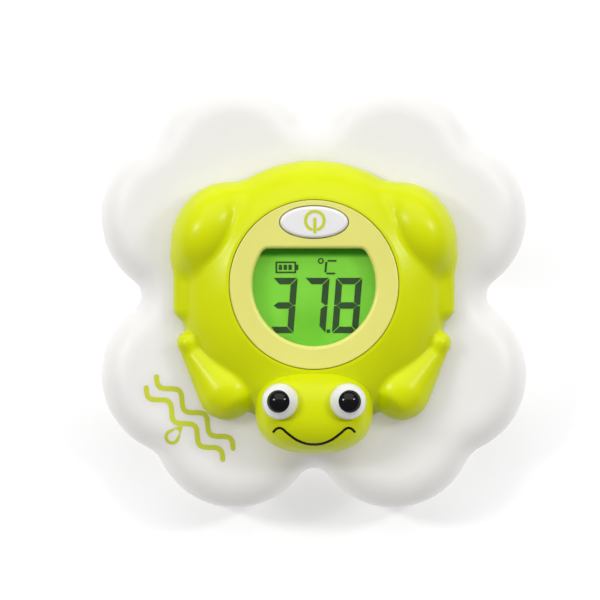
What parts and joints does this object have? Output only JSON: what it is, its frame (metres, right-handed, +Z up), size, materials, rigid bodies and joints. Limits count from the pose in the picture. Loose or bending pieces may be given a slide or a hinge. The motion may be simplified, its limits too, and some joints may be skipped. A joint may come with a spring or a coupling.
{
  "type": "floating bath thermometer",
  "caption": "Flower-shaped float carrying a frog whose back holds a round display and a power button; screw-capped cell below.",
  "frame": {"origin": "on the resting plane, under the middle of the flower", "axes": "+Z up out of the display, -Y towards the frog's head, +Y towards the power button"},
  "size_m": [0.1098, 0.1098, 0.0417],
  "materials": {
    "float_white": "glossy, moulded ABS",
    "frog_lime": "semi-gloss, moulded ABS",
    "face_lime": "satin, moulded ABS",
    "eye_white": "glossy",
    "eye_black": "high gloss",
    "button_white": "satin",
    "clear_window": "clear acrylic, polished",
    "silicone": "translucent silicone, matt",
    "seal_black": "black rubber",
    "display_glass": "display cell with film",
    "diffuser": "translucent acrylic",
    "led_body": "moulded LED package",
    "frame_white": "matt ABS",
    "switch_black": "matt",
    "board_green": "solder-masked glass epoxy",
    "chip_black": "epoxy",
    "steel": "stainless or plated, satin",
    "cell_steel": "nickel-plated, bright",
    "wire_red": "PVC insulation",
    "wire_black": "PVC insulation",
    "wire_grey": "PVC insulation",
    "potting": "cast epoxy"
  },
  "bodies": {
    "root": {"float_top": "float_white", "float_base": "float_white", "body_gasket": "seal_black", "frog_shell": "frog_lime", "frog_head": "frog_lime", "eye_white_left": "eye_white", "eye_white_right": "eye_white", "pupil_left": "eye_black", "pupil_right": "eye_black", "face_plate": "face_lime", "display_window": "clear_window", "button_membrane": "silicone", "lcd_panel": "display_glass", "light_guide": "diffuser", "backlight_led": "led_body", "zebra_strip": "silicone", "lcd_frame": "frame_white", "circuit_board": "board_green", "controller_chip": "chip_black", "clock_crystal": "steel", "chip_components": "chip_black", "switch_case": "switch_black", "board_screws": "steel", "body_screws": "steel", "battery_cell": "cell_steel", "contact_negative": "steel", "contact_positive": "steel", "sensor_cap": "steel", "sensor_seal": "seal_black", "thermistor": "chip_black", "sensor_potting": "potting", "battery_lead_red": "wire_red", "battery_lead_black": "wire_black", "sensor_leads": "wire_grey"},
    "button": {"power_button": "button_white"},
    "plunger": {"switch_plunger": "switch_black"},
    "cap_carriage": {"cap_seal": "seal_black"},
    "cap": {"battery_cap": "float_white"}
  },
  "joints": [
    {"name": "button_press", "type": "slide", "parent": "root", "child": "button", "axis": [0, 0, -1], "range_m": [0, 0.0008], "stiffness_N_per_m": 400, "deforming": ["button_membrane"]},
    {"name": "plunger_press", "type": "slide", "parent": "root", "child": "plunger", "axis": [0, 0, -1], "range_m": [0, 0.0003]},
    {"name": "cap_travel", "type": "slide", "parent": "root", "child": "cap_carriage", "axis": [0, 0, -1], "range_m": [0, 0.0038]},
    {"name": "cap_turn", "type": "hinge", "parent": "cap_carriage", "child": "cap", "pos_m": [0, 0, 0.003], "axis": [0, 0, -1], "range_deg": [0, 450]}
  ],
  "couplings": [
    {"joint": "plunger_press", "follows": "button_press", "ratio": 0.375},
    {"joint": "cap_travel", "follows": "cap_turn", "m_per_rad": 0.00047746}
  ]
}
